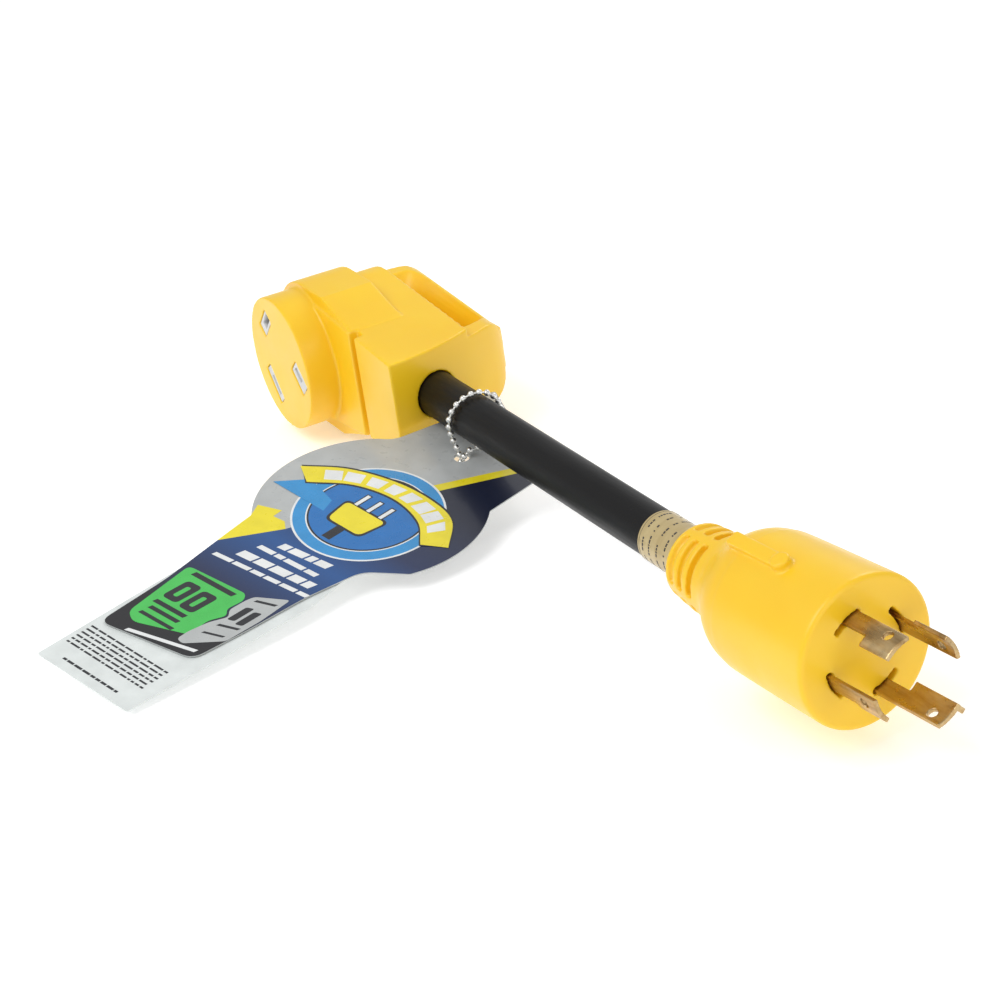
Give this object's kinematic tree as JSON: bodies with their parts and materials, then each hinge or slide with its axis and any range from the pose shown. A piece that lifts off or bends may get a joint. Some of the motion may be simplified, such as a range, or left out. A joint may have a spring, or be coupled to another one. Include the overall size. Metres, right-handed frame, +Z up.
{
  "type": "power adapter dogbone",
  "caption": "Short dogbone power adapter: side-exit outlet head with pull handle, stub of round cable, curved-blade locking plug, and a two-leaf hang tag on a ball chain.",
  "frame": {"origin": "centre of the outlet face", "axes": "-Y out of the outlet face, +X along the cable towards the plug, +Z up"},
  "size_m": [0.3985, 0.2239, 0.0592],
  "materials": {
    "yellow": "satin moulded",
    "white": "moulded",
    "black": "scuffed matt",
    "green": "satin",
    "copper": "bare copper",
    "brass": "aged, slightly tarnished",
    "label": "printed film",
    "steel": "nickel-plated",
    "card": "printed, laminated",
    "paper": "uncoated card"
  },
  "bodies": {
    "head": {"head_overmold": "yellow", "socket_core": "white", "contact_line": "brass", "contact_neutral": "brass", "contact_ground": "brass"},
    "cable": {"cable_jacket": "black", "wire_line_insulation": "black", "wire_neutral_insulation": "white", "wire_ground_insulation": "green", "wire_line_copper": "copper", "wire_neutral_copper": "copper", "wire_ground_copper": "copper"},
    "plug": {"plug_overmold": "yellow", "plug_core": "white", "blade_line": "brass", "blade_line_2": "brass", "blade_neutral": "brass", "blade_ground": "brass", "cable_band": "label"},
    "chain": {"ball_chain": "steel", "chain_clasp": "steel"},
    "tag_front": {"tag_front_card": "card"},
    "tag_back": {"tag_back_card": "paper"}
  },
  "joints": [
    {"name": "cable_bend", "type": "hinge", "parent": "head", "child": "cable", "pos_m": [0.088, 0.0321, 0], "axis": [0, 1, 0], "range_deg": [-10, 10], "stiffness_Nm_per_rad": 18, "deforming": ["cable_jacket", "wire_line_insulation", "wire_neutral_insulation", "wire_ground_insulation", "wire_line_copper", "wire_neutral_copper", "wire_ground_copper"]},
    {"name": "plug_bend", "type": "hinge", "parent": "cable", "child": "plug", "pos_m": [0.212, 0.0321, 0], "axis": [0, 0, 1], "range_deg": [-20, 20], "stiffness_Nm_per_rad": 18},
    {"name": "chain_slide", "type": "slide", "parent": "cable", "child": "chain", "axis": [1, 0, 0], "range_m": [0, 0.084]},
    {"name": "tag_swing", "type": "hinge", "parent": "chain", "child": "tag_front", "pos_m": [0.10299, 0.02498, -0.0146], "axis": [-0.9393, -0.2818, 0.1959], "range_deg": [0, 25]},
    {"name": "leaf_spread", "type": "hinge", "parent": "tag_front", "child": "tag_back", "pos_m": [0.0962, 0.0276, -0.0134], "axis": [0.9393, 0.2818, -0.1959], "range_deg": [0, 10]}
  ]
}
